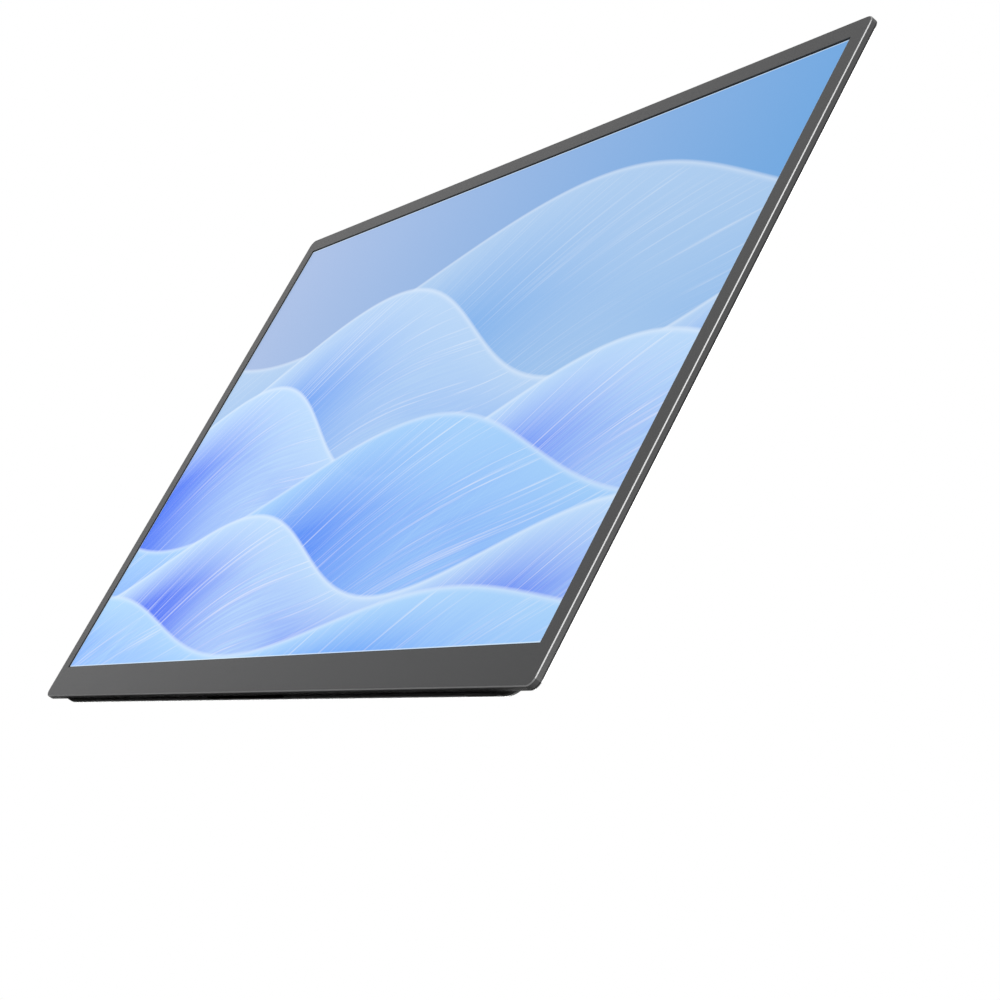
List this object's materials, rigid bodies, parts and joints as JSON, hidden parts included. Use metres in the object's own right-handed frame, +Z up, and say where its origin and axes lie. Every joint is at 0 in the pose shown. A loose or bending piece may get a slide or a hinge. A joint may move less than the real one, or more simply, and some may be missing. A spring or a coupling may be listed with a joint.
{
  "type": "portable_monitor",
  "caption": "Slim portable monitor with a deeper lower rear housing, a waisted fold-out stand plate lying flush in it like a cover, a ribbed power key, a menu rocker and side sockets",
  "frame": {"origin": "centre of the bottom face of the bounding box, with the monitor standing upright on its bottom edge and the stand closed", "axes": "+X to the viewer's right, +Y from the screen towards the back, +Z up; the screen faces -Y"},
  "size_m": [0.3584, 0.0056, 0.2132],
  "materials": {
    "bezel_grey": "fine satin texture",
    "display_glass": "anti-glare glass, picture lit from behind",
    "reflector_white": "matte",
    "shell_black": "glossy lacquer",
    "housing_black": "satin lacquer",
    "stand_black": "satin powder coat on aluminium",
    "hinge_steel": "brushed along the axis",
    "pin_steel": "polished",
    "screw_steel": "turned heads",
    "zinc_plate": "zinc plated",
    "board_green": "solder resist",
    "chip_black": "moulded",
    "flex_amber": "thin film",
    "socket_ivory": "moulded",
    "port_metal": "nickel plated",
    "speaker_black": "moulded",
    "rubber_black": "matte",
    "pad_grey": "matte",
    "magnet_nickel": "nickel plated",
    "key_silver": "ribbed and anodised",
    "rocker_black": "satin"
  },
  "bodies": {
    "monitor": {"front_bezel": "bezel_grey", "display_glass": "display_glass", "backlight_unit": "reflector_white", "back_shell": "shell_black", "rear_housing": "housing_black", "main_board": "board_green", "board_chips": "chip_black", "driver_board": "board_green", "ribbon_cable": "flex_amber", "ribbon_sockets": "socket_ivory", "panel_flex": "flex_amber", "usb_c_port_lower": "port_metal", "usb_c_port_upper": "port_metal", "mini_hdmi_port": "port_metal", "speaker_left": "speaker_black", "speaker_right": "speaker_black", "hinge_base_left": "hinge_steel", "hinge_base_right": "hinge_steel", "hinge_pin_left": "pin_steel", "hinge_pin_right": "pin_steel", "hinge_base_screws": "screw_steel", "housing_screws": "zinc_plate", "board_screws": "zinc_plate", "rubber_feet": "rubber_black", "gap_pads": "pad_grey", "keeper_plates": "zinc_plate", "key_board": "board_green", "power_switch": "chip_black", "rocker_board": "board_green", "rocker_switches": "chip_black", "rocker_bracket": "hinge_steel", "rocker_pin": "pin_steel"},
    "stand": {"stand_plate": "stand_black", "hinge_leaf_left": "hinge_steel", "hinge_leaf_right": "hinge_steel", "leaf_screws": "screw_steel", "stand_magnets": "magnet_nickel"},
    "key": {"power_key": "key_silver"},
    "rocker": {"menu_rocker": "rocker_black"}
  },
  "joints": [
    {"name": "stand_hinge", "type": "hinge", "parent": "monitor", "child": "stand", "pos_m": [0, 0.0015, 0.0832], "axis": [1, 0, 0], "range_deg": [0, 90]},
    {"name": "power_press", "type": "slide", "parent": "monitor", "child": "key", "axis": [1, 0, 0], "range_m": [0, 0.00025], "stiffness_N_per_m": 600},
    {"name": "menu_rock", "type": "hinge", "parent": "monitor", "child": "rocker", "pos_m": [0.1667, 0.00055, 0.071], "axis": [0, 1, 0], "range_deg": [-3.5, 3.5], "stiffness_Nm_per_rad": 0.03}
  ]
}
